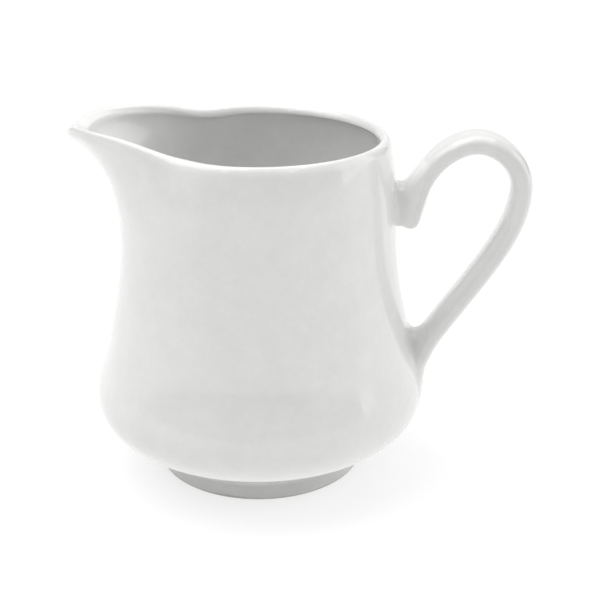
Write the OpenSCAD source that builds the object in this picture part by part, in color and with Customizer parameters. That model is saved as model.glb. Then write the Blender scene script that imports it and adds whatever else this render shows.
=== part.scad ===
// Porcelain cream jug: a bell-shaped cast body with a pulled spout, standing on a foot ring, and a
// looped strap handle that is stuck on opposite the spout with two joints of casting slip.
// The origin is the centre of the face that the jug rests on, +Z is up, the spout points along -X.
// Angles round the jug are measured from the handle side (+X), so the spout is at 180 degrees.

/* [Body] */
// Height of the middle of the lip above the table, on the handle side
lip_height = 83; // [78:0.5:90]
// Thickness of the wall and of the lip
wall = 2.9; // [2.4:0.1:3.4]
// Thickness of the wall where it meets the foot, as a multiple of the wall
heel_gain = 1.7; // [1.4:0.05:1.9]
// Outer radius of the belly
belly_radius = 41; // [40:0.1:42]
// Height of the widest point of the belly
belly_height = 20; // [19:0.5:22]
// Outer radius of the flank, where the bell starts to rise straight
flank_radius = 37.1; // [36.5:0.1:38]
// Height of that point of the flank
flank_height = 35.4; // [33:0.2:37]
// Outer radius of the neck
neck_radius = 33.3; // [32:0.1:35]
// Height of the neck
neck_height = 66.4; // [62:0.2:68]
// Outer radius at the lip, away from the spout
lip_radius = 31.5; // [30.5:0.1:33]

/* [Spout] */
// How far the spout reaches out past the round of the lip
spout_reach = 14.3; // [10:0.1:16]
// Angle on each side of the spout over which the lip runs back to the round
spout_spread = 28.9; // [24:0.1:34]
// Height of the shoulders of the spout above the rest of the lip
spout_rise = 3.3; // [0:0.1:5]
// How far the tip of the spout dips below its shoulders
tip_dip = 2.3; // [0:0.1:3]
// How far the cheeks beside the spout are drawn in
cheek_pinch = 1.9; // [0:0.1:2.5]
// Height at which the spout starts to leave the wall
spout_root = 57; // [52:0.5:60]

/* [Foot] */
// Height of the foot ring
foot_height = 4.7; // [4.2:0.1:6]
// Outer radius of the foot ring where it stands on the table
foot_radius = 25.8; // [24:0.1:26]
// Outer radius of the foot ring where it meets the body
foot_top_radius = 26.3; // [26:0.1:27]
// Width of the foot ring
foot_width = 4.2; // [3.5:0.1:5]

/* [Handle] */
// Thickness of the strap, across the loop
strap_thickness = 5.3; // [4.6:0.1:6]
// Width of the strap, along its flat
strap_width = 10.8; // [9:0.1:12]
// Height of the middle of the strap at the top of the loop
crown_height = 83.2; // [80:0.1:86]
// Distance of the top of the loop from the jug's axis
crown_reach = 51.5; // [49:0.1:54]
// Distance of the farthest point of the strap's middle from the jug's axis
loop_reach = 62.3; // [59:0.1:66]
// Height of that farthest point
loop_height = 72.4; // [70:0.1:74]
// Thickness of the slip between the belly and the lower end of the strap
slip_thickness = 1; // [0.6:0.1:1.2]

/* [Hidden] */

glaze = "#f4f4f1";        // glazed porcelain
slip = "#ecebe6";         // slip of the joints, under the same glaze

// ---- Curves ----
function bezier(p, t) =
    pow(1 - t, 3) * p[0] + 3 * pow(1 - t, 2) * t * p[1] + 3 * (1 - t) * t * t * p[2] + pow(t, 3) * p[3];
function bezier_points(p, steps, first) = [for (i = [first:steps]) bezier(p, i / steps)];
function unit(v) = v / norm(v);
function ray(angle) = [cos(angle), sin(angle)];

// ---- Body ----
// The outer profile of the body, as radius and height, from the foot up to the lip
foot_edge = [foot_top_radius, foot_height];
belly = [belly_radius, belly_height];
flank = [flank_radius, flank_height];
flank_rise = unit([-0.2, 1]);
neck = [neck_radius, neck_height];
lip_edge = [lip_radius, lip_height];
profile = concat(
    bezier_points([foot_edge, foot_edge + [8.3, 6.2], belly - [0, 8.2], belly], 7, 0),
    bezier_points([belly, belly + [0, 4.6], flank - 6.8 * flank_rise, flank], 5, 1),
    bezier_points([flank, flank + 9 * flank_rise, neck - [0, 14], neck], 5, 1),
    bezier_points([neck, neck + [0, 5.6], lip_edge + [1, -5.8], lip_edge], 7, 1));
last = len(profile) - 1;
segments = 64;            // facets round the body
lip_steps = 5;            // facets across the round of the lip
floor_steps = 3;          // rings in the floor of the inside
floor_height = 7.7;       // height of the floor of the inside, at its middle

function profile_direction(i) = unit(profile[min(i + 1, last)] - profile[max(i - 1, 0)]);

// Half the thickness of the wall at a station of the profile: thicker below the belly
function half_wall(i) =
    let (low = max(0, belly_height - profile[i][1]) / (belly_height - foot_height))
    wall / 2 * (1 + (heel_gain - 1) * low * low);

// The middle of the wall before the spout is pulled
function mid_profile(i) =
    let (d = profile_direction(i)) profile[i] - half_wall(i) * [d[1], -d[0]];

// The angle of a facet's edge from the handle: the facets are closest together at the spout
function facet_angle(k) = 360 * k / segments + 0.4 * sin(360 * k / segments) * 180 / PI;

// The lip, by the angle from the spout: how far it is pulled out, and how far it rises
function bell(angle, width, power) = exp(-pow(abs(angle) / width, power));
function spout_pull(angle) =
    spout_reach * bell(angle, spout_spread, 1.9) - cheek_pinch * bell(abs(angle) - 57.7, 16, 2);
function spout_lift(angle) =
    spout_rise * bell(angle, 45, 4.9) - tip_dip * bell(angle, 8.4, 2);

// A point on the middle of the wall, at an angle from the handle and a station of the profile
function wall_middle(angle, i) =
    let (p = mid_profile(i),
         share = max(0, p[1] - spout_root) / (lip_height - spout_root),
         off_spout = 180 - abs(angle > 180 ? angle - 360 : angle),
         r = p[0] + spout_pull(off_spout) * pow(share, 3.2))
    [r * cos(angle), r * sin(angle), p[1] + spout_lift(off_spout) * pow(share, 1.6)];

// The direction square to the wall, outwards
function wall_normal(angle, i) =
    let (round_about = wall_middle(angle + 0.5, i) - wall_middle(angle - 0.5, i),
         upwards = wall_middle(angle, min(i + 1, last)) - wall_middle(angle, max(i - 1, 0)))
    unit(cross(round_about, upwards));
function wall_upwards(angle) =
    unit(wall_middle(angle, last) - wall_middle(angle, last - 1));

// The outside of the wall, or a surface that lies a little way out from it
function outer_ring(i, away = 0) =
    [for (k = [0:segments - 1]) let (a = facet_angle(k), r = foot_top_radius + away)
        i == 0 ? [r * cos(a), r * sin(a), foot_height]
               : wall_middle(a, i) + (half_wall(i) + away) * wall_normal(a, i)];
function inner_ring(i) =
    [for (k = [0:segments - 1]) let (a = facet_angle(k))
        wall_middle(a, i) - half_wall(i) * wall_normal(a, i)];

// The lip's section, out and up: round outside, and a soft bevel from its top to the inside
bevel = 1.6;              // 1 is round, 2 a flat bevel
function lip_section(turn) =
    cos(turn) >= 0 ? [cos(turn), sin(turn)] : [-pow(-cos(turn), bevel), pow(sin(turn), bevel)];
function lip_ring(turn) =
    [for (k = [0:segments - 1]) let (a = facet_angle(k), s = lip_section(turn))
        wall_middle(a, last) + wall / 2 * (s[0] * wall_normal(a, last) + s[1] * wall_upwards(a))];

// The dished floor of the inside, from the heel of the wall to its middle
heel = mid_profile(0) - half_wall(0) * [profile_direction(0)[1], -profile_direction(0)[0]];
floor_curve = [heel, heel - 5 * profile_direction(0), [14, floor_height], [4, floor_height]];
function floor_ring(i) =
    [for (k = [0:segments - 1]) let (p = bezier(floor_curve, i / floor_steps), a = facet_angle(k))
        [p[0] * cos(a), p[0] * sin(a), p[1]]];

// A closed solid over a list of rings, each with the same number of points
module skin(rings) {
    n = len(rings[0]);
    points = [for (ring = rings) each ring];
    top = (len(rings) - 1) * n;
    sides = [for (j = [0:len(rings) - 2], k = [0:n - 1]) let (m = (k + 1) % n)
        each [[j * n + k, (j + 1) * n + k, (j + 1) * n + m], [j * n + k, (j + 1) * n + m, j * n + m]]];
    polyhedron(
        points = points,
        faces = concat([[for (k = [0:n - 1]) k]], sides, [[for (k = [n - 1:-1:0]) top + k]]),
        convexity = 6);
}

module body() {
    color(glaze)
        skin(concat(
            [for (i = [0:last]) outer_ring(i)],
            [for (s = [1:lip_steps - 1]) lip_ring(180 * s / lip_steps)],
            [for (i = [last:-1:0]) inner_ring(i)],
            [for (i = [1:floor_steps]) floor_ring(i)]));
}

// The body as if it were solid, which the handle and its joints are cut to fit
module body_core(away = 0) {
    skin([for (i = [0:last]) outer_ring(i, away)]);
}

// ---- Foot ring ----
module foot_ring() {
    bare_edge = 0.7;      // rounding of the edges that stand on the table
    inner = foot_radius - foot_width;
    color(glaze)
        rotate_extrude($fn = 128)
            polygon([
                [inner + bare_edge, 0], [foot_radius - bare_edge, 0], [foot_radius, bare_edge],
                [foot_top_radius, foot_height], [inner - 0.6, foot_height], [inner, bare_edge]]);
}

// ---- Handle ----
// The middle line of the strap, as distance from the axis and height, from the tab at the body's
// neck over the loop and down to the belly
tab_top = [38, 70.8];
tab_angle = 75.2;
tab_length = 6.1;
crown = [crown_reach, crown_height];
outermost = [loop_reach, loop_height];
limb = [44.6, 37.4];
limb_angle = 55.8;
root = [38, 22.5];
root_angle = 73.8;
strap_line = concat(
    [for (i = [0:2]) tab_top - (1 - i / 3) * tab_length * ray(tab_angle)],
    bezier_points([tab_top, tab_top + 8.4 * ray(tab_angle), crown - [4.5, 0], crown], 8, 0),
    bezier_points([crown, crown + [5.2, 0], outermost + [0, 6.1], outermost], 7, 1),
    bezier_points([outermost, outermost - [0, 9.9], limb + 20.3 * ray(limb_angle), limb], 8, 1),
    bezier_points([limb, limb - 6.6 * ray(limb_angle), root + 6.1 * ray(root_angle), root], 7, 1));
strap_last = len(strap_line) - 1;
strap_sides = 20;
flare_start = strap_last - 7; // the station of the lower limb from which the strap widens

function strap_direction(i) =
    unit(strap_line[min(i + 1, strap_last)] - strap_line[max(i - 1, 0)]);
function strap_flare(i) = 1 + 0.22 * pow(max(0, i - flare_start) / (strap_last - flare_start), 2);

// The section is a flattened round, fuller than an ellipse
function rounded(s) = sign(s) * pow(abs(s), 0.8);

// One section of the strap, square to the middle line. Shift moves it along the line, and size
// scales it.
function strap_ring(i, size = 1, shift = 0) =
    let (d = strap_direction(i), c = strap_line[i] + shift * d, across = [-d[1], d[0]])
    [for (k = [0:strap_sides - 1])
        let (a = 360 * k / strap_sides,
             u = rounded(cos(a)) * strap_thickness / 2 * size,
             v = rounded(sin(a)) * strap_width / 2 * strap_flare(i) * size)
        [c[0] + across[0] * u, v, c[1] + across[1] * u]];

// The rounded end of the tab, then the sections along the strap
tab_round = strap_thickness / 2;
strap_rings = concat(
    [for (a = [80, 50, 25]) strap_ring(0, 0.35 + 0.65 * cos(a), -tab_round * sin(a))],
    [for (i = [0:strap_last]) strap_ring(i)]);

// A chain of rings, each pair joined by the smallest convex solid round it
module chain(rings) {
    for (i = [0:len(rings) - 2]) {
        hull() skin([rings[i], rings[i + 1]]);
    }
}

module handle() {
    color(glaze)
        difference() {
            chain(strap_rings);
            body_core(slip_thickness);
        }
}

// ---- Slip joints ----
// The web of slip between the tab and the neck: wide on the body and narrow at the tab
web_steps = 8;
web_foot = 63.2;
web_head = 73.4;
function web_ring(j) =
    let (h = web_foot + (web_head - web_foot) * j / web_steps,
         tab = 36 + (h - web_foot) * 0.27,
         wide = 9 * (1 - 0.35 * pow(j / web_steps, 3)),
         narrow = 4.4 * (1 - 0.2 * pow(j / web_steps, 3)))
    [[neck_radius - 5, -wide - 0.6, h], [neck_radius - 0.9, -wide, h], [tab, -narrow, h],
     [tab, narrow, h], [neck_radius - 0.9, wide, h], [neck_radius - 5, wide + 0.6, h]];

module upper_slip_joint() {
    color(slip)
        difference() {
            chain([for (j = [0:web_steps]) web_ring(j)]);
            body_core();
            chain(strap_rings);
        }
}

// The bed of slip that the lower end of the strap sits in, squeezed out round it, most of all in
// the crotch on the inner side
bed_first = strap_last - 7;
function bed_ring(i) =
    let (d = strap_direction(i), c = strap_line[i], across = [-d[1], d[0]])
    [for (k = [0:strap_sides - 1])
        let (a = 360 * k / strap_sides,
             squeezed = 1.4 - 0.6 * cos(a),
             u = rounded(cos(a)) * (strap_thickness / 2 + squeezed),
             v = rounded(sin(a)) * (strap_width / 2 * strap_flare(i) + squeezed))
        [c[0] + across[0] * u, v, c[1] + across[1] * u]];

module lower_slip_joint() {
    color(slip)
        difference() {
            intersection() {
                chain([for (i = [bed_first:strap_last]) bed_ring(i)]);
                body_core(slip_thickness);
            }
            body_core();
        }
}

body();
foot_ring();
handle();
upper_slip_joint();
lower_slip_joint();
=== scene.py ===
"""The looks of a porcelain cream jug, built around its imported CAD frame.

The jug stands on the origin with its spout along -X and its handle along +X. Lengths in this script
are in millimetres and angles in degrees, measured from the handle side, until a mesh is made. The
floor and the lights of the studio are in metres.
"""

import math

import bpy
import numpy as np
from mathutils import Matrix, Vector


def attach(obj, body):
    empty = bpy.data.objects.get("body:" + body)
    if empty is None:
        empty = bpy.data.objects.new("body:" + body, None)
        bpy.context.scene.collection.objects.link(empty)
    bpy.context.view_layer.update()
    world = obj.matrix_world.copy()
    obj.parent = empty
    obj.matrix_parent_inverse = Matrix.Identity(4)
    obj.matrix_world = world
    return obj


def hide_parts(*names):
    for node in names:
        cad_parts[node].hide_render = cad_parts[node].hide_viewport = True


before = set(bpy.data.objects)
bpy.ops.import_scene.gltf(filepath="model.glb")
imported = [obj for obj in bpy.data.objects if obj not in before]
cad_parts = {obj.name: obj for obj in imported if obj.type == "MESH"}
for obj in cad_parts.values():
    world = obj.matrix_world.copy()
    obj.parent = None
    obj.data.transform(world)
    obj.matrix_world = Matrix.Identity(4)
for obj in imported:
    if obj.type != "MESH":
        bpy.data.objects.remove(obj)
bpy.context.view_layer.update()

MM = 0.001  # metres in a millimetre

# ---- Driving dimensions, as in the CAD source ----
LIP_HEIGHT = 83.0
LIP_RADIUS = 31.5
WALL = 2.9
HEEL_GAIN = 1.7
BELLY_RADIUS, BELLY_HEIGHT = 40.985, 20.0  # a hair inside the facets of the CAD
FLANK_RADIUS, FLANK_HEIGHT = 37.1, 35.4
NECK_RADIUS, NECK_HEIGHT = 33.3, 66.4
FLOOR_HEIGHT = 7.7  # floor of the inside, at its middle

SPOUT_ROOT = 57.0
SPOUT_REACH, SPOUT_SPREAD = 14.3, 28.9
SPOUT_RISE, TIP_DIP = 3.3, 2.3
CHEEK_PINCH = 1.9

FOOT_HEIGHT = 4.7
FOOT_RADIUS, FOOT_TOP_RADIUS = 25.8, 26.3
FOOT_WIDTH = 4.2

STRAP_THICKNESS, STRAP_WIDTH = 5.3, 10.8
STRAP_FLARE = 0.22  # how much wider the strap is at its lower end
STRAP_POWER = 2.5  # of the superellipse that is the strap's section
TAB_TOP, TAB_ANGLE, TAB_LENGTH = (38.0, 70.8), 75.2, 6.1
CROWN = (51.5, 83.2)
OUTERMOST = (62.3, 72.4)
LIMB, LIMB_ANGLE = (44.6, 37.4), 55.8
ROOT, ROOT_ANGLE = (38.0, 22.5), 73.8


# ---- Curves ----
def unit(v):
    """The vectors of the last axis, each with length 1."""
    v = np.asarray(v, float)
    return v / np.linalg.norm(v, axis=-1, keepdims=True)


def ray(angle):
    return np.array([math.cos(math.radians(angle)), math.sin(math.radians(angle))])


def bezier(points, steps):
    """Steps + 1 points along the cubic Bezier curve of four points."""
    p = np.array(points, float)
    t = np.linspace(0, 1, steps + 1)[:, None]
    return (
        (1 - t) ** 3 * p[0]
        + 3 * (1 - t) ** 2 * t * p[1]
        + 3 * (1 - t) * t * t * p[2]
        + t**3 * p[3]
    )


def joined(*curves):
    """Curves end to end, with each shared point once."""
    return np.concatenate([curves[0]] + [c[1:] for c in curves[1:]])


def smooth_line(knots, steps):
    """A line through points, each given with its way and its pulls along that way, before and after."""
    curves = []
    for (start, start_way, start_pulls), (end, end_way, end_pulls) in zip(knots, knots[1:]):
        leaving = np.array(start) + start_pulls[1] * np.array(start_way)
        arriving = np.array(end) - end_pulls[0] * np.array(end_way)
        curves.append(bezier([start, leaving, arriving, end], steps))
    return joined(*curves)


def even(points, count):
    """The line through the points, with count points at even distances."""
    steps = np.linalg.norm(np.diff(points, axis=0), axis=1)
    along = np.concatenate([[0], np.cumsum(steps)])
    wanted = np.linspace(0, along[-1], count)
    columns = [np.interp(wanted, along, points[:, k]) for k in range(points.shape[1])]
    return np.stack(columns, axis=1)


def tangents(points):
    return unit(np.gradient(points, axis=0))


def arc(centre, radius, start, end, steps):
    """Points on a circle in the plane, from one angle to another."""
    a = np.radians(np.linspace(start, end, steps + 1))
    return np.array(centre) + radius * np.stack([np.cos(a), np.sin(a)], axis=1)


def ease(x, start, end):
    """0 before start, 1 after end, and smooth between them."""
    t = np.clip((x - start) / (end - start), 0, 1)
    return t * t * (3 - 2 * t)


# ---- Meshes ----
def ring_faces(rings, sides, offset=0):
    """Quads between consecutive rings of points."""
    j, k = np.meshgrid(np.arange(rings - 1), np.arange(sides), indexing="ij")
    m = (k + 1) % sides
    quads = np.stack([j * sides + k, j * sides + m, (j + 1) * sides + m, (j + 1) * sides + k], -1)
    return (quads.reshape(-1, 4) + offset).tolist()


def skin(rings):
    """Points and faces of the closed solid over a list of rings, with a fan at each end."""
    count, sides = len(rings), len(rings[0])
    points = np.concatenate([*rings, [rings[0].mean(0), rings[-1].mean(0)]])
    first, last = count * sides, count * sides + 1
    top = (count - 1) * sides
    faces = ring_faces(count, sides)
    faces += [[first, (k + 1) % sides, k] for k in range(sides)]
    faces += [[last, top + k, top + (k + 1) % sides] for k in range(sides)]
    return points, faces


def level_ring(radius, height, turn):
    """Points round the axis at one radius and height; the turn of each is in radians."""
    return np.stack([radius * np.cos(turn), radius * np.sin(turn), np.full(len(turn), height)], 1)


def lathe(outline, sides):
    """Points and faces of a closed outline of radius and height, turned about the axis."""
    turn = np.linspace(0, 2 * math.pi, sides, endpoint=False)
    rings = [level_ring(r, z, turn) for r, z in outline]
    rings.append(rings[0])
    points = np.concatenate(rings[:-1])
    faces = np.array(ring_faces(len(rings), sides)) % len(points)
    return points, faces.tolist()


def piece(name, points, faces, material, node, slot):
    """A smooth-shaded mesh of points in millimetres that stands for a CAD node."""
    mesh = bpy.data.meshes.new(name)
    mesh.from_pydata((np.asarray(points) * MM).tolist(), [], faces)
    mesh.validate()
    mesh.shade_smooth()
    mesh.materials.append(material)
    obj = bpy.data.objects.new(name, mesh)
    bpy.context.scene.collection.objects.link(obj)
    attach(obj, "root")
    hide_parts(node)
    return obj


# ---- Body ----
PROFILE_STEPS = 48  # along each of the four curves of the profile
BODY_SIDES = 320
SPOUT_CROWDING = 0.4  # share by which the sides are closer together at the spout than on average
SIDE_STEP = 0.2  # degrees to each side, over which the way round the wall is found
LIP_STEPS = 30
FLOOR_STEPS = 24

# How far the profile is drawn along its way, before each point and after it
FOOT_PULL = (8.3, 6.2)  # outwards and upwards
BELLY_PULLS = (8.2, 4.6)
FLANK_PULLS = (6.8, 9.0)
NECK_PULLS = (14.0, 5.6)
LIP_PULL = (-1.0, 5.8)
FLANK_WAY = (-0.2, 1.0)

SPOUT_POWER = 1.9  # of its bell: the higher, the flatter its tip and the steeper its sides
CHEEK_ANGLE, CHEEK_SPREAD = 57.7, 16  # where the wall is drawn in, off the spout, and how widely
SHOULDER_SPREAD, SHOULDER_POWER = 45, 4.9  # of the rise of the lip
TIP_SPREAD = 8.4  # of the dip at the spout's tip
PULL_POWER, LIFT_POWER = 3.2, 1.6  # by which the pull and the rise grow from the spout's root up

BEVEL = 1.35  # 1 is round, 2 a flat bevel
LIP_DROP = 3  # stations by which the outer round of the lip starts lower than the inner bevel
BEAD = 1.1  # how far the inside lies back below the lip
BEAD_FADE = (12, 40)  # how far below the lip that starts to run out, and where it is gone
LIP_GAIN, GAIN_SPREAD = 0.6, 80  # how much thicker the lip is inside, round the handle side
SPOUT_FACE, FACE_SPREAD = 1.5, 48  # how much farther down the bevel goes at the spout
FACE_SLOPE = 0.28  # of that part of the bevel, back for each millimetre up

HEEL_PULL = 5.0  # how far the floor's curve is first drawn on down the wall
DISH_RADIUS = 14.0  # about where the dished floor gets level
HUB_RADIUS = 0.6  # of the floor's last ring, which a fan closes

foot_edge = np.array([FOOT_TOP_RADIUS, FOOT_HEIGHT])
profile = smooth_line(
    [
        (foot_edge, FOOT_PULL, (0, 1)),
        ((BELLY_RADIUS, BELLY_HEIGHT), (0, 1), BELLY_PULLS),
        ((FLANK_RADIUS, FLANK_HEIGHT), unit(FLANK_WAY), FLANK_PULLS),
        ((NECK_RADIUS, NECK_HEIGHT), (0, 1), NECK_PULLS),
        ((LIP_RADIUS, LIP_HEIGHT), LIP_PULL, (1, 0)),
    ],
    PROFILE_STEPS,
)
profile_ways = tangents(profile)

# Half the thickness of the wall, which is thicker below the belly
low_share = np.maximum(0, BELLY_HEIGHT - profile[:, 1]) / (BELLY_HEIGHT - FOOT_HEIGHT)
half_wall = WALL / 2 * (1 + (HEEL_GAIN - 1) * low_share**2)
outwards = np.stack([profile_ways[:, 1], -profile_ways[:, 0]], axis=1)
mid_profile = profile - half_wall[:, None] * outwards


def bell(angle, width, power=2):
    return np.exp(-((np.abs(angle) / width) ** power))


def off_spout(angles):
    """The angle between each angle and the spout, to either side."""
    return 180 - np.abs((angles + 180) % 360 - 180)


def spout_pull(off):
    """How far the lip is pulled out, by the angle from the spout."""
    cheek = CHEEK_PINCH * bell(off - CHEEK_ANGLE, CHEEK_SPREAD)
    return SPOUT_REACH * bell(off, SPOUT_SPREAD, SPOUT_POWER) - cheek


def spout_lift(off):
    """How far the lip rises, by the angle from the spout."""
    return SPOUT_RISE * bell(off, SHOULDER_SPREAD, SHOULDER_POWER) - TIP_DIP * bell(off, TIP_SPREAD)


def wall_middle(angles):
    """The middle of the wall: an array of stations by angles by x, y, z."""
    off = off_spout(angles)
    share = np.maximum(0, mid_profile[:, 1] - SPOUT_ROOT) / (LIP_HEIGHT - SPOUT_ROOT)
    r = mid_profile[:, :1] + spout_pull(off) * share[:, None] ** PULL_POWER
    z = mid_profile[:, 1:] + spout_lift(off) * share[:, None] ** LIFT_POWER
    turn = np.radians(angles)
    return np.stack([r * np.cos(turn), r * np.sin(turn), z], axis=-1)


def inner_retreat(angles):
    """How much thinner than the wall it is inside: an array of stations by angles."""
    off = off_spout(angles)
    below = LIP_HEIGHT - mid_profile[:, 1:]
    face = SPOUT_FACE * bell(off, FACE_SPREAD, 4)
    under_lip = BEAD * (1 - np.exp(-np.maximum(below - face, 0))) * (1 - ease(below, *BEAD_FADE))
    gain = LIP_GAIN * bell(180 - off, GAIN_SPREAD, 4) * np.exp(-below)
    return FACE_SLOPE * np.maximum(face - below, 0) + under_lip - gain


def lip_section(t, drop):
    """The lip's section, out and up: an oval round outside, and a soft bevel down to the inside."""
    c, s = math.cos(t), math.sin(t)
    if c >= 0:
        return c, (1 + drop) * s - drop
    return -((-c) ** BEVEL), s**BEVEL


def lip_rings(middle, normal, upwards, retreat):
    """The rings over the top of the wall, from the outside to the inside."""
    drop = np.linalg.norm(middle[-1, 0] - middle[-1 - LIP_DROP, 0]) / (WALL / 2)
    rings = []
    for s in range(1, LIP_STEPS):
        out, up = lip_section(math.pi * s / LIP_STEPS, drop)
        thickness = WALL / 2 - (retreat[-1] if out < 0 else 0)
        rings.append(middle[-1] + out * thickness * normal[-1] + up * WALL / 2 * upwards[-1])
    return rings


def floor_rings(turn):
    """The rings of the dished floor of the inside, from the heel of the wall to its middle."""
    heel = mid_profile[0] - half_wall[0] * outwards[0]
    level = [(DISH_RADIUS, FLOOR_HEIGHT), (HUB_RADIUS, FLOOR_HEIGHT)]
    curve = bezier([heel, heel - HEEL_PULL * profile_ways[0], *level], FLOOR_STEPS)
    return [level_ring(r, z, turn) for r, z in curve[1:]]


def body_mesh():
    """The wall with its spout, its lip and the floor inside: rings from the foot up and down again."""
    even_angles = np.arange(BODY_SIDES) / BODY_SIDES * 360
    angles = even_angles + SPOUT_CROWDING * np.degrees(np.sin(np.radians(even_angles)))
    turn = np.radians(angles)
    middle = wall_middle(angles)
    round_about = wall_middle(angles + SIDE_STEP) - wall_middle(angles - SIDE_STEP)
    upwards = np.gradient(middle, axis=0)
    normal = unit(np.cross(round_about, upwards))
    half = half_wall[:, None, None]
    retreat = inner_retreat(angles)[..., None]
    outer = middle + half * normal
    outer[0] = level_ring(FOOT_TOP_RADIUS, FOOT_HEIGHT, turn)
    inner = middle - (half - retreat) * normal
    lip = lip_rings(middle, normal, unit(upwards), retreat)
    return skin([*outer[:-LIP_DROP], *lip, *inner[::-1], *floor_rings(turn)])


def body_distance(p):
    """Signed distance from the outside of the body on the handle side, below its lip."""
    r = np.hypot(p[:, 0], p[:, 1])
    slope = np.gradient(profile[:, 0], profile[:, 1])
    edge = np.interp(p[:, 2], profile[:, 1], profile[:, 0])
    return (r - edge) / np.sqrt(1 + np.interp(p[:, 2], profile[:, 1], slope) ** 2)


# ---- Foot ring ----
FOOT_SIDES = 256
BARE_EDGE = 0.7  # rounding of the edges that stand on the table
SUNK, SET_BACK = 0.3, 0.2  # how far up and inwards the ring's top lies inside the body
RECESS_LEAN = 0.6  # how much narrower the recess is at its top, beside the cove
RECESS_COVE, OUTER_COVE = 1.3, 0.28  # radii of the coves under the body, in the recess and outside


def foot_mesh():
    """The ring with round edges, a tight cove under the belly and a wide one in the recess."""
    inner = FOOT_RADIUS - FOOT_WIDTH
    recess_edge = inner - RECESS_LEAN - RECESS_COVE
    belly_way = profile_ways[0]
    side_way = unit([FOOT_TOP_RADIUS - FOOT_RADIUS, FOOT_HEIGHT - BARE_EDGE])
    reach, pull = 2.2 * OUTER_COVE, 0.7 * OUTER_COVE
    tight_cove = [
        foot_edge - reach * side_way,
        foot_edge - pull * side_way,
        foot_edge + pull * belly_way,
        foot_edge + reach * belly_way,
    ]
    outline = np.concatenate([
        arc((FOOT_RADIUS - BARE_EDGE, BARE_EDGE), BARE_EDGE, -90, 0, 8),
        bezier(tight_cove, 8),
        [foot_edge + (-SET_BACK, SUNK), (recess_edge, FOOT_HEIGHT + SUNK)],
        arc((recess_edge, FOOT_HEIGHT - RECESS_COVE), RECESS_COVE, 90, 0, 10),
        arc((inner + BARE_EDGE, BARE_EDGE), BARE_EDGE, 180, 270, 8),
    ])
    return lathe(outline, FOOT_SIDES)


# ---- Handle ----
STRAP_STATIONS = 300
STRAP_SIDES = 72
TAB_STEPS, CURVE_STEPS = 29, 60  # along the straight tab and along each curve of the strap
TAB_ROUND = STRAP_THICKNESS / 2  # length of the rounded end of the tab
TAB_END_POWER = 0.6  # the higher, the more pointed that end
TAB_END_TURN = 88  # angle round that end at which a fan closes it
END_STEPS = 14
LET_IN = 1.2  # how far the lower end goes into the wall
LET_IN_SHARE = 0.8  # where along the strap its lines start to make for that end
LEAST_SECTION, LEAST_SLOPE = 0.2, 0.01  # keep divisions steady beside the strap's middle line

# How far the strap's line is drawn along its way, before each point and after it
TAB_PULL = 8.4
CROWN_PULLS = (4.5, 5.2)
OUTERMOST_PULLS = (6.1, 9.9)
LIMB_PULLS = (20.3, 6.6)
ROOT_PULL = 6.1


def strap_line():
    """The middle line of the strap, as x, z and its widening, from the tab down to the belly."""
    tab_way = ray(TAB_ANGLE)
    tab_top = np.array(TAB_TOP)
    tab = np.linspace(tab_top - TAB_LENGTH * tab_way, tab_top, TAB_STEPS + 1)
    loop = smooth_line(
        [
            (TAB_TOP, tab_way, (0, TAB_PULL)),
            (CROWN, (1, 0), CROWN_PULLS),
            (OUTERMOST, (0, -1), OUTERMOST_PULLS),
            (LIMB, -ray(LIMB_ANGLE), LIMB_PULLS),
            (ROOT, -ray(ROOT_ANGLE), (ROOT_PULL, 0)),
        ],
        CURVE_STEPS,
    )
    line = joined(tab, loop)
    widening = np.ones(len(line))
    widening[-CURVE_STEPS:] += STRAP_FLARE * np.linspace(0, 1, CURVE_STEPS + 1)[1:] ** 2
    return even(np.column_stack([line, widening]), STRAP_STATIONS)


strap = strap_line()
strap_ways = tangents(strap[:, :2])


def strap_ring(i, size=1.0, shift=0.0):
    """One section of the strap, square to its middle line, moved along it and scaled."""
    way = strap_ways[i]
    centre = strap[i, :2] + shift * way
    a = np.linspace(2 * math.pi, 0, STRAP_SIDES, endpoint=False)
    c, s = np.cos(a), np.sin(a)
    u = np.sign(c) * np.abs(c) ** (2 / STRAP_POWER) * STRAP_THICKNESS / 2 * size
    v = np.sign(s) * np.abs(s) ** (2 / STRAP_POWER) * STRAP_WIDTH / 2 * strap[i, 2] * size
    return np.stack([centre[0] - way[1] * u, v, centre[1] + way[0] * u], axis=1)


def tab_end_size(a):
    """Size of the section at an angle round the rounded end of the tab."""
    return math.cos(a) ** TAB_END_POWER


def let_into_wall(rings):
    """Ends each line along the strap where it has gone a little way into the wall of the body."""
    count = len(rings)
    low = int(count * LET_IN_SHARE)
    share = np.linspace(0, 1, count - low)
    for side in range(rings.shape[1]):
        line = rings[low:, side].copy()
        deep = np.flatnonzero(body_distance(line) < -LET_IN)
        end = deep[0] if len(deep) else len(line) - 1
        for axis in range(3):
            rings[low:, side, axis] = np.interp(share * end, np.arange(len(line)), line[:, axis])
    return list(rings)


def handle_mesh():
    """The strap from the rounded end of its tab down to its lower end in the wall."""
    rings = []
    for s in range(END_STEPS):
        a = math.radians(TAB_END_TURN) * (1 - s / END_STEPS)
        rings.append(strap_ring(0, tab_end_size(a), -TAB_ROUND * math.sin(a)))
    along = np.stack([strap_ring(i) for i in range(STRAP_STATIONS)])
    return skin(rings + let_into_wall(along))


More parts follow.
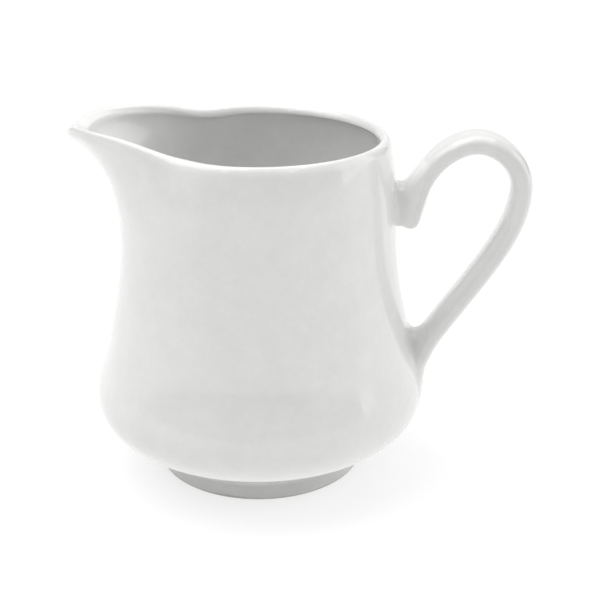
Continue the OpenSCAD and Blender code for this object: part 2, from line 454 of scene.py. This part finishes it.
def strap_distance(p):
    """Signed distance from the strap's surface, exact on the surface and close to it near by."""
    squared = (p[:, :1] - strap[:, 0]) ** 2 + (p[:, 2:] - strap[:, 1]) ** 2
    i = np.argmin(squared, axis=1)
    dx = p[:, 0] - strap[i, 0]
    dz = p[:, 2] - strap[i, 1]
    past = np.where(i == 0, np.maximum(0, -(dx * strap_ways[i, 0] + dz * strap_ways[i, 1])), 0)
    thick, wide = STRAP_THICKNESS / 2, STRAP_WIDTH / 2 * strap[i, 2]
    u = np.abs(-dx * strap_ways[i, 1] + dz * strap_ways[i, 0]) / thick
    v = np.abs(p[:, 1]) / wide
    w = past / TAB_ROUND
    n, m = STRAP_POWER, 2 / TAB_END_POWER
    section = np.maximum((u**n + v**n) ** (1 / n), LEAST_SECTION)
    level = (section**m + w**2) ** (1 / m)  # 1 on the surface
    by_section = (section / level) ** (m - 1)
    along_u = by_section * (u / section) ** (n - 1) / thick
    along_v = by_section * (v / section) ** (n - 1) / wide
    along_w = 2 * w / m * level ** (1 - m) / TAB_ROUND
    slope = np.sqrt(along_u**2 + along_v**2 + along_w**2)
    return (level - 1) / np.maximum(slope, LEAST_SLOPE)


# ---- Solids that are given by a distance ----
def filleted(a, b, radius):
    """The union of two solids with a round fillet of that radius in the corner between them."""
    in_corner = np.hypot(np.maximum(radius - a, 0), np.maximum(radius - b, 0))
    return np.maximum(radius, np.minimum(a, b)) - in_corner


def rounded_cut(a, b, radius):
    """The part that two solids share, with a round edge of that radius."""
    return -filleted(-a, -b, radius)


def gradient(f, p, step=0.02):
    columns = []
    for k in range(3):
        shift = np.zeros(3)
        shift[k] = step
        columns.append((f(p + shift) - f(p - shift)) / (2 * step))
    return np.stack(columns, axis=1)


def part_of_grid(slices):
    """An index into a grid that takes all of an axis, unless a slice is given for it."""
    return tuple(slices.get(axis, slice(None)) for axis in range(3))


def other_axes(axis):
    return [k for k in range(3) if k != axis]


def crossings_along(axis, grid, value, cell):
    """Where the surface crosses the grid's lines along an axis, and the points at which it does."""
    behind, ahead = part_of_grid({axis: slice(None, -1)}), part_of_grid({axis: slice(1, None)})
    crossed = (value[behind] < 0) != (value[ahead] < 0)
    share = np.where(crossed, value[behind] / np.where(crossed, value[behind] - value[ahead], 1), 0)
    points = grid[behind].copy()
    points[..., axis] += share * cell
    return crossed, points


def quads_across(axis, crossed, starts_inside, number):
    """A quad for each crossing along an axis, between the points of the four cells round it."""
    a, b = other_axes(axis)
    where = np.argwhere(crossed)
    where = where[(where[:, a] > 0) & (where[:, b] > 0)]
    where = where[(where[:, a] < number.shape[a]) & (where[:, b] < number.shape[b])]
    corners = []
    for da, db in ((1, 1), (0, 1), (0, 0), (1, 0)):
        at = where.copy()
        at[:, a] -= da
        at[:, b] -= db
        corners.append(number[tuple(at.T)])
    quads = np.stack(corners, axis=1)
    faces_out = starts_inside[tuple(where.T)] ^ (axis == 1)
    quads[~faces_out] = quads[~faces_out][:, ::-1]
    return quads.tolist()


def surface_net(f, low, high, cell):
    """Points and quads of the surface f = 0, one point in each cell of the grid that it crosses."""
    axes = [np.arange(lo, hi, cell) for lo, hi in zip(low, high)]
    shape = tuple(len(x) for x in axes)
    grid = np.stack(np.meshgrid(*axes, indexing="ij"), axis=-1)
    value = np.stack([f(slab.reshape(-1, 3)).reshape(shape[1:]) for slab in grid])
    cells = tuple(n - 1 for n in shape)
    total, hits = np.zeros(cells + (3,)), np.zeros(cells)
    crossings = []
    for axis in range(3):
        crossed, points = crossings_along(axis, grid, value, cell)
        crossings.append(crossed)
        a, b = other_axes(axis)
        for da, db in ((0, 0), (0, 1), (1, 0), (1, 1)):
            near = part_of_grid({a: slice(da, da + cells[a]), b: slice(db, db + cells[b])})
            total += np.where(crossed[near][..., None], points[near], 0)
            hits += crossed[near]
    active = hits > 0
    number = np.full(cells, -1)
    number[active] = np.arange(active.sum())
    faces = []
    for axis, crossed in enumerate(crossings):
        starts_inside = value[part_of_grid({axis: slice(None, -1)})] < 0
        faces += quads_across(axis, crossed, starts_inside, number)
    return total[active] / hits[active][:, None], faces


def settle(f, points, rounds=4, longest=0.1, least_steep=0.05):
    """Moves points onto the surface f = 0, in rounds of no more than the longest move."""
    for _ in range(rounds):
        g = gradient(f, points)
        steep = (g * g).sum(1, keepdims=True)
        move = f(points)[:, None] * g / np.maximum(steep, least_steep)
        size = np.linalg.norm(move, axis=1, keepdims=True)
        points = points - move * np.minimum(1, longest / np.maximum(size, 1e-9))
    return points


# ---- Slip joints ----
CELL = 0.25  # of the grid that a joint's surface is found on
SHY = 0.012  # how far a joint's skin lies under body and strap where it has run out
STRAP_EDGE = (3.5, 6.0)  # to each side of the strap's middle, where its inner side runs out

WEB_BOX = ((30, -11.5, 61), (42, 11.5, 81))
WEB_SKIN, WEB_BODY_REACH, WEB_STRAP_REACH = 0.95, 7.6, 5.3
WEB_RADIUS, CROTCH_RADIUS = 4.6, 1.0  # fillets beside the tab, and where the crotch has run out
CROTCH_START, CROTCH_FOOT, CROTCH_HEAD = 68.0, 70.0, 80.0
CROTCH_SWELL = 1.2  # slip on the inner side of the strap, in the crotch
SWELL_START = 63.0  # height from which it builds up, till the crotch starts
STRAP_MIDDLE = (-1.5, 0.5)  # from just inside the strap's middle line to just outside it
WEB_BOTTOM, WEB_BOTTOM_ROUND = 62.75, 0.6  # height of the cut-off edge, and how round it is
WEB_BOTTOM_RISE, WEB_HALF_WIDTH = 2.5, 8.5  # how much higher it is that far to each side

BED_BOX = ((34, -10, 15), (46, 10, 42))
BED_SKIN, BED_BODY_REACH, BED_STRAP_REACH = 0.9, 5.8, 5.6
BED_RADIUS, BED_CROTCH_RADIUS = 2.4, 4.8
BED_CROTCH = (31.0, 35.5)  # heights at which the bed starts to widen, and at which it has done so
BED_EDGE_LOSS = 0.5  # share of that widening which is lost at the strap's edges


def joint_solid(radius, skin_depth, body_reach, strap_reach, swell=None, trim=None):
    """The slip in the corner between body and strap, within reach of both and a skin deep in them."""

    def f(p):
        body, strap_away = body_distance(p), strap_distance(p)
        built_up = strap_away if swell is None else strap_away - swell(p)
        filled = filleted(body, built_up, radius(p)) + SHY
        if trim is not None:
            filled = rounded_cut(filled, trim(p), WEB_BOTTOM_ROUND)
        near = np.maximum(body - body_reach, strap_away - strap_reach)
        return np.maximum.reduce([filled, -skin_depth - body, -skin_depth - strap_away, near])

    return f


def joint_mesh(solid, low, high):
    """The surface of a joint, which a box cuts off inside the wall."""
    low, high = np.array(low, float), np.array(high, float)

    def f(p):
        return np.maximum(solid(p), np.maximum(low - p, p - high).max(axis=1))

    # The grid reaches past the box on every side, and none of its points lies on the box
    points, faces = surface_net(f, low - 1.5 * CELL, high + 2.5 * CELL, CELL)
    return settle(f, points), faces


def web_radius(p):
    """Even up to the crotch, and then less and less upwards."""
    fall = ease(p[:, 2], CROTCH_START, CROTCH_HEAD)
    return WEB_RADIUS + (CROTCH_RADIUS - WEB_RADIUS) * fall


def crotch_swell(p):
    """How far the slip builds up the strap: on its inner side only, and less and less upwards."""
    way = ray(TAB_ANGLE)
    outwards = (p[:, 0] - TAB_TOP[0]) * way[1] - (p[:, 2] - TAB_TOP[1]) * way[0]
    towards_body = 1 - ease(outwards, *STRAP_MIDDLE)
    starting = ease(p[:, 2], SWELL_START, CROTCH_START)
    ending = ease(p[:, 2], CROTCH_FOOT, CROTCH_HEAD)
    at_edge = ease(np.abs(p[:, 1]), *STRAP_EDGE)
    return CROTCH_SWELL * towards_body * (starting - ending) * (1 - at_edge)


def web_bottom(p):
    """Below zero above the bottom edge of the web, which rises to each side."""
    return WEB_BOTTOM + WEB_BOTTOM_RISE * (p[:, 1] / WEB_HALF_WIDTH) ** 2 - p[:, 2]


def bed_radius(p):
    """Even round the strap, and wider in the crotch on its inner side."""
    at_edge = ease(np.abs(p[:, 1]), *STRAP_EDGE)
    wider = ease(p[:, 2], *BED_CROTCH) * (1 - BED_EDGE_LOSS * at_edge)
    return BED_RADIUS + (BED_CROTCH_RADIUS - BED_RADIUS) * wider


def upper_web_mesh():
    solid = joint_solid(web_radius, WEB_SKIN, WEB_BODY_REACH, WEB_STRAP_REACH, crotch_swell, web_bottom)
    return joint_mesh(solid, *WEB_BOX)


def lower_bed_mesh():
    solid = joint_solid(bed_radius, BED_SKIN, BED_BODY_REACH, BED_STRAP_REACH)
    return joint_mesh(solid, *BED_BOX)


# ---- Materials ----
NOISE_SPAN = (0.3, 0.7)  # in which nearly all values of a noise lie
CLEAR_COAT, COAT_ROUGHNESS = 0.8, 0.025  # the glassy skin of the glaze
PINHOLES = 90  # cells per metre; a pinhole is where the surface meets the point in a cell
PINHOLE_SPAN, PINHOLE_SHADE = (0.012, 0.03), 0.4  # distances from that point, in cells; darkness
PINHOLE_COLOUR = (0.42, 0.40, 0.37)
WAVE_HEIGHT, WAVE_STRENGTH = 0.4 * MM, 0.12

BARE_HEIGHT = 0.55 * MM  # above the table, where the glaze of the foot ring starts
BARE_WAVER, BARE_FADE = 0.3 * MM, 0.25 * MM
# grey of the rough, uncoated bottom edge: painted shade, as on the rest of the foot ring, and darker
# still
BARE_SHADED_COLOUR = (0.46, 0.45, 0.42)
BARE_ROUGHNESS, GLAZED_ROUGHNESS = 0.7, 0.2


def node_tree(name):
    """A new material, its nodes and its shader."""
    material = bpy.data.materials.new(name)
    material.use_nodes = True
    tree = material.node_tree
    return material, tree, tree.nodes["Principled BSDF"]


def noise(tree, scale, detail, roughness=0.5):
    """Noise in the object's own space; the scale is in waves per metre."""
    place = tree.nodes.new("ShaderNodeTexCoord")
    texture = tree.nodes.new("ShaderNodeTexNoise")
    texture.inputs["Scale"].default_value = scale
    texture.inputs["Detail"].default_value = detail
    texture.inputs["Roughness"].default_value = roughness
    tree.links.new(place.outputs["Object"], texture.inputs["Vector"])
    return texture.outputs["Fac"]


def blend(tree, share, first, second):
    """A colour between two, each of them a plain colour or an output of a node."""
    mix = tree.nodes.new("ShaderNodeMix")
    mix.data_type = "RGBA"
    tree.links.new(share, mix.inputs["Factor"])
    for socket, colour in (("A", first), ("B", second)):
        if isinstance(colour, tuple):
            mix.inputs[socket].default_value = (*colour, 1)
        else:
            tree.links.new(colour, mix.inputs[socket])
    return mix.outputs["Result"]


def mapped(tree, value, from_range, to_range):
    """A value moved from one range to another, and held at that range's ends."""
    node = tree.nodes.new("ShaderNodeMapRange")
    node.inputs["From Min"].default_value, node.inputs["From Max"].default_value = from_range
    node.inputs["To Min"].default_value, node.inputs["To Max"].default_value = to_range
    tree.links.new(value, node.inputs["Value"])
    return node.outputs["Result"]


def glaze(name, light, dark, roughness):
    """Clear glaze over white porcelain: nearly even, with faint clouds, grain and pinholes."""
    material, tree, shader = node_tree(name)
    cloudy = mapped(tree, noise(tree, scale=100, detail=8, roughness=0.85), NOISE_SPAN, (0.0, 1.0))
    clouds = blend(tree, cloudy, light, dark)
    place = tree.nodes.new("ShaderNodeTexCoord")
    cells = tree.nodes.new("ShaderNodeTexVoronoi")
    cells.inputs["Scale"].default_value = PINHOLES
    tree.links.new(place.outputs["Object"], cells.inputs["Vector"])
    pinhole = mapped(tree, cells.outputs["Distance"], PINHOLE_SPAN, (PINHOLE_SHADE, 0.0))
    tree.links.new(blend(tree, pinhole, clouds, PINHOLE_COLOUR), shader.inputs["Base Color"])

    waves = tree.nodes.new("ShaderNodeBump")
    waves.inputs["Strength"].default_value = WAVE_STRENGTH
    waves.inputs["Distance"].default_value = WAVE_HEIGHT
    tree.links.new(noise(tree, scale=120, detail=2), waves.inputs["Height"])
    tree.links.new(waves.outputs["Normal"], shader.inputs["Normal"])
    tree.links.new(waves.outputs["Normal"], shader.inputs["Coat Normal"])

    shader.inputs["Roughness"].default_value = roughness
    shader.inputs["IOR"].default_value = 1.5
    shader.inputs["Specular IOR Level"].default_value = 0.2
    shader.inputs["Coat Weight"].default_value = CLEAR_COAT
    shader.inputs["Coat Roughness"].default_value = COAT_ROUGHNESS
    return material


def leave_edge_bare(material):
    """Takes the glaze off below a wavering line, where the ring stood in the kiln, and gives that band
    a darker grey, which holds painted shade like the glaze above it.
    """
    tree = material.node_tree
    shader = tree.nodes["Principled BSDF"]
    place = tree.nodes.new("ShaderNodeTexCoord")
    axes = tree.nodes.new("ShaderNodeSeparateXYZ")
    tree.links.new(place.outputs["Object"], axes.inputs["Vector"])
    wavering = mapped(tree, noise(tree, scale=90, detail=3), NOISE_SPAN, (-BARE_WAVER, BARE_WAVER))
    line = tree.nodes.new("ShaderNodeMath")
    tree.links.new(axes.outputs["Z"], line.inputs[0])
    tree.links.new(wavering, line.inputs[1])
    glazed = mapped(tree, line.outputs["Value"], (BARE_HEIGHT, BARE_HEIGHT + BARE_FADE), (0, 1))
    under = shader.inputs["Base Color"].links[0].from_socket
    roughness = mapped(tree, glazed, (0, 1), (BARE_ROUGHNESS, GLAZED_ROUGHNESS))
    coat = mapped(tree, glazed, (0, 1), (0, CLEAR_COAT))
    tree.links.new(blend(tree, glazed, BARE_SHADED_COLOUR, under), shader.inputs["Base Color"])
    tree.links.new(roughness, shader.inputs["Roughness"])
    tree.links.new(coat, shader.inputs["Coat Weight"])


body_glaze = glaze("body_glaze", (0.868, 0.873, 0.859), (0.790, 0.795, 0.781), 0.16)
handle_glaze = glaze("handle_glaze", (0.820, 0.825, 0.811), (0.742, 0.747, 0.733), 0.16)
slip_glaze = glaze("slip_glaze", (0.848, 0.853, 0.837), (0.770, 0.775, 0.759), 0.18)
# The foot ring's grey is painted shade from the belly above it; its own glaze is white like the body's.
foot_glaze = glaze("foot_glaze", (0.600, 0.604, 0.590), (0.530, 0.534, 0.520), 0.22)
leave_edge_bare(foot_glaze)

# ---- Pieces ----
piece("glazed_body", *body_mesh(), body_glaze, "body", "body_glaze")
piece("glazed_foot_ring", *foot_mesh(), foot_glaze, "foot_ring", "foot_glaze")
piece("glazed_handle", *handle_mesh(), handle_glaze, "handle", "handle_glaze")
piece("upper_slip_web", *upper_web_mesh(), slip_glaze, "upper_slip_joint", "slip_glaze")
piece("lower_slip_bed", *lower_bed_mesh(), slip_glaze, "lower_slip_joint", "slip_glaze")


# ---- Studio ----
FLOOR_GLOW = 0.68  # the floor is a light table, so that shadows stay faint
FLOOR_SHADE = 0.35  # the grey that is lit by the lamps, under the glow
FLOOR_HALF, FLOOR_DROP = 4.0, 0.02 * MM  # half its side, and how far it is clear of the foot ring
WORLD_LEVEL = 0.325
JUG_MIDDLE = (0, 0, 0.04)  # which every softbox faces
STRIP_WIDTH, STRIP_POWER = 0.01, 0.4  # of the two lights that draw thin lines on the glaze

CAMERA_PLACE, CAMERA_AIM = Vector((28.4, -270.3, 151.0)), Vector((10.01, 1.06, 41.75))
CAMERA_ROLL = 0.18
SENSOR_WIDTH, FOCAL_LENGTH = 36, 70.54


def make_floor():
    mesh = bpy.data.meshes.new("studio_floor")
    signs = ((-1, -1), (1, -1), (1, 1), (-1, 1))
    corners = [(x * FLOOR_HALF, y * FLOOR_HALF, -FLOOR_DROP) for x, y in signs]
    mesh.from_pydata(corners, [], [(0, 1, 2, 3)])
    material, _, shader = node_tree("studio_floor")
    shader.inputs["Base Color"].default_value = (FLOOR_SHADE, FLOOR_SHADE, FLOOR_SHADE, 1)
    shader.inputs["Roughness"].default_value = 1.0
    shader.inputs["Specular IOR Level"].default_value = 0.0
    shader.inputs["Emission Color"].default_value = (1, 1, 1, 1)
    shader.inputs["Emission Strength"].default_value = FLOOR_GLOW
    mesh.materials.append(material)
    floor = bpy.data.objects.new("studio_floor", mesh)
    bpy.context.scene.collection.objects.link(floor)


def area_light(name, width, height, power):
    """A rectangular light, with its power in watts."""
    light = bpy.data.lights.new(name, "AREA")
    light.shape = "RECTANGLE"
    light.size, light.size_y = width, height
    light.energy = power
    lamp = bpy.data.objects.new(name, light)
    bpy.context.scene.collection.objects.link(lamp)
    return lamp


def softbox(name, place, size, power):
    """A wide light that faces the jug."""
    lamp = area_light(name, *size, power)
    lamp.location = place
    facing = Vector(JUG_MIDDLE) - Vector(place)
    lamp.rotation_euler = facing.to_track_quat("-Z", "Y").to_euler()


def strip_light(name, start, end):
    """A narrow light from one point to another, turned to the jug."""
    start, end = Vector(start), Vector(end)
    middle = (start + end) / 2
    along = (end - start).normalized()
    back = (middle - along * middle.dot(along)).normalized()
    turn = Matrix((along.cross(back), along, back)).transposed().to_4x4()
    lamp = area_light(name, STRIP_WIDTH, (end - start).length, STRIP_POWER)
    lamp.matrix_world = Matrix.Translation(middle) @ turn


def make_world():
    world = bpy.data.worlds.new("studio")
    world.use_nodes = True
    grey = (WORLD_LEVEL, WORLD_LEVEL, WORLD_LEVEL, 1)
    world.node_tree.nodes["Background"].inputs["Color"].default_value = grey
    bpy.context.scene.world = world


def make_camera():
    camera = bpy.data.cameras.new("camera")
    camera.sensor_width = SENSOR_WIDTH
    camera.lens = FOCAL_LENGTH
    eye = bpy.data.objects.new("camera", camera)
    place, aim = CAMERA_PLACE * MM, CAMERA_AIM * MM
    turn = (aim - place).to_track_quat("-Z", "Y").to_matrix().to_4x4()
    roll = Matrix.Rotation(math.radians(CAMERA_ROLL), 4, "Z")
    eye.matrix_world = Matrix.Translation(place) @ turn @ roll
    bpy.context.scene.collection.objects.link(eye)
    bpy.context.scene.camera = eye


make_floor()
make_world()
softbox("overhead", (0.0, 0.35, 1.3), (1.4, 1.0), 8.0)
softbox("overhead_front", (0.0, -0.5, 1.2), (1.2, 0.6), 1.2)
softbox("overhead_left", (-0.6, 0.0, 1.2), (1.1, 1.1), 7.8)
softbox("behind", (0.0, 1.3, 0.55), (1.8, 1.15), 3.0)
softbox("right", (1.1, 0.15, 0.4), (0.9, 0.8), 3.2)
strip_light("strip_left", (-0.37, -0.05, 0.93), (-0.34, -0.74, 0.60))
strip_light("strip_right", (0.39, -0.05, 0.93), (0.43, -0.73, 0.60))
make_camera()
bpy.context.scene.view_settings.view_transform = "Standard"
